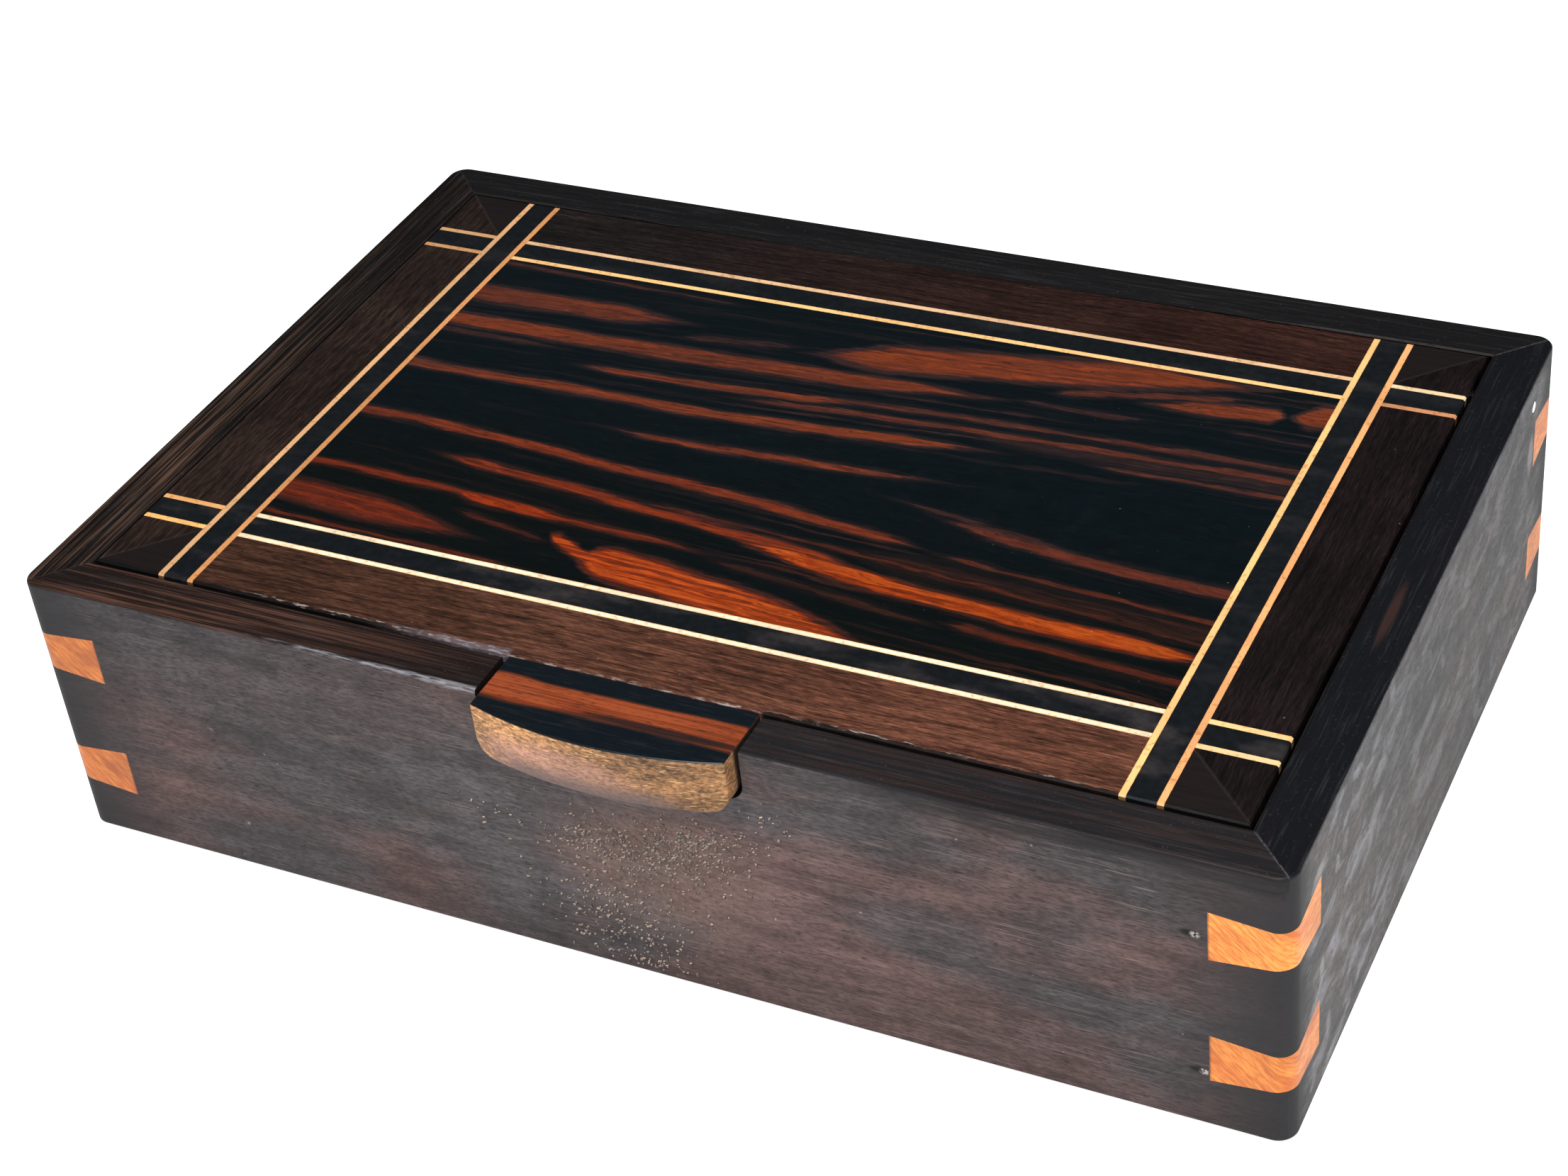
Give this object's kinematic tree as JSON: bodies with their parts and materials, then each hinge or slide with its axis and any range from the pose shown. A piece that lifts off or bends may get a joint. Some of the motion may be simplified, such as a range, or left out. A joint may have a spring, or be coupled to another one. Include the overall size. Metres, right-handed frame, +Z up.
{
  "type": "inlaid wooden box",
  "caption": "Low rectangular wooden keepsake box with an inset hinged lid, crossing inlaid bands, keyed mitred corners and a bowed pull tab.",
  "frame": {"origin": "centre of the box's base, on the surface it stands on", "axes": "+X to the box's right along its length, +Y from the pull tab to the hinge, +Z up"},
  "size_m": [0.3, 0.2066, 0.0725],
  "materials": {
    "wall_wood": "matte oiled, open grain",
    "key_wood": "satin",
    "pin_metal": "polished rod end",
    "bottom_wood": "matte",
    "core_wood": "satin",
    "tab_wood": "satin top, raw faces",
    "panel_wood": "polished",
    "border_wood": "satin",
    "string_wood": "satin",
    "black_wood": "satin"
  },
  "bodies": {
    "box": {"back_left_lower_key": "key_wood", "back_left_upper_key": "key_wood", "back_right_lower_key": "key_wood", "back_right_upper_key": "key_wood", "back_wall": "wall_wood", "bottom_panel": "bottom_wood", "front_left_lower_key": "key_wood", "front_left_upper_key": "key_wood", "front_right_lower_key": "key_wood", "front_right_upper_key": "key_wood", "front_wall": "wall_wood", "left_hinge_pin": "pin_metal", "left_wall": "wall_wood", "right_hinge_pin": "pin_metal", "right_wall": "wall_wood"},
    "lid": {"back_border": "border_wood", "back_ebony": "black_wood", "back_ebony_left_stub": "black_wood", "back_ebony_right_stub": "black_wood", "back_inner_string": "string_wood", "back_inner_string_left_stub": "string_wood", "back_inner_string_right_stub": "string_wood", "back_outer_string": "string_wood", "back_outer_string_left_stub": "string_wood", "back_outer_string_right_stub": "string_wood", "centre_panel": "panel_wood", "front_border": "border_wood", "front_ebony": "black_wood", "front_ebony_left_stub": "black_wood", "front_ebony_right_stub": "black_wood", "front_inner_string": "string_wood", "front_inner_string_left_stub": "string_wood", "front_inner_string_right_stub": "string_wood", "front_outer_string": "string_wood", "front_outer_string_left_stub": "string_wood", "front_outer_string_right_stub": "string_wood", "left_border": "border_wood", "left_ebony": "black_wood", "left_inner_string": "string_wood", "left_outer_string": "string_wood", "lid_core": "core_wood", "pull_tab": "tab_wood", "right_border": "border_wood", "right_ebony": "black_wood", "right_inner_string": "string_wood", "right_outer_string": "string_wood"}
  },
  "joints": [
    {"name": "lid_hinge", "type": "hinge", "parent": "box", "child": "lid", "pos_m": [0, 0.0794, 0.065], "axis": [-1, 0, 0], "range_deg": [0, 93]}
  ]
}
